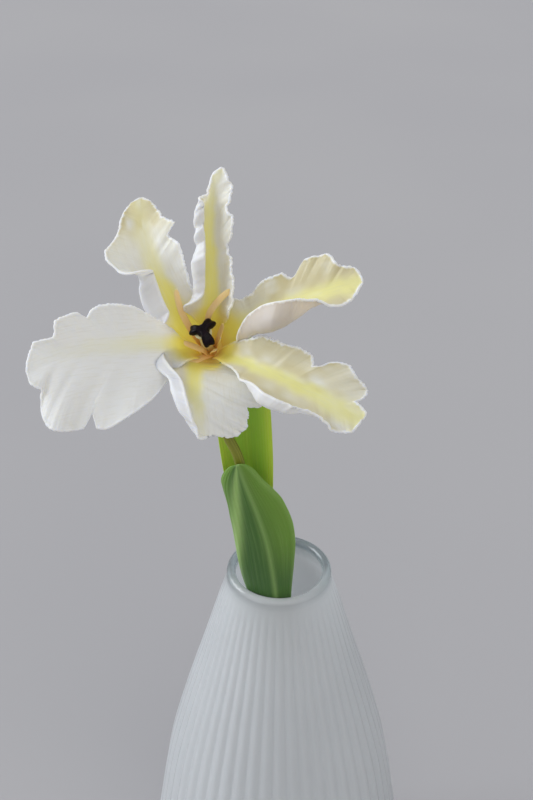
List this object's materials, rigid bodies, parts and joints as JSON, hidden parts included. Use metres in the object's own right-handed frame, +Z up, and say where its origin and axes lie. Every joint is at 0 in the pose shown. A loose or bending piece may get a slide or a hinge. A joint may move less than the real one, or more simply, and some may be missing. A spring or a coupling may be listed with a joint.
{
  "type": "parrot tulip in a bottle vase",
  "caption": "Open parrot tulip bloom with ruffled petals on a leaning stem with leaves, standing in a ribbed opal glass bottle vase.",
  "frame": {"origin": "middle of the vase's flat foot, on the surface that it stands on", "axes": "+Z up along the vase's own axis; the bloom faces -Y and leans towards -X; the picture looks along +Y and down"},
  "size_m": [0.1393, 0.1161, 0.3911],
  "materials": {
    "opal_glass": "opal glass with soft vertical ribs and a clear smooth rim",
    "stem_olive": "satin, olive brown, fine lengthwise grain",
    "leaf_green": "satin, lengthwise veins, translucent",
    "petal_cream": "silky cream with olive yellow stripes, an orange root and white frilled rims",
    "pistil_pale": "satin, pale yellow green",
    "stigma_black": "glossy, blackish purple",
    "stamen_peach": "satin, peach orange"
  },
  "bodies": {
    "root": {"vase": "opal_glass", "stem": "stem_olive", "leaf_front": "leaf_green", "leaf_back": "leaf_green", "petal_1": "petal_cream", "petal_2": "petal_cream", "petal_3": "petal_cream", "petal_4": "petal_cream", "petal_5": "petal_cream", "petal_6": "petal_cream", "pistil": "pistil_pale", "stigma": "stigma_black", "stamens": "stamen_peach"}
  },
  "joints": []
}
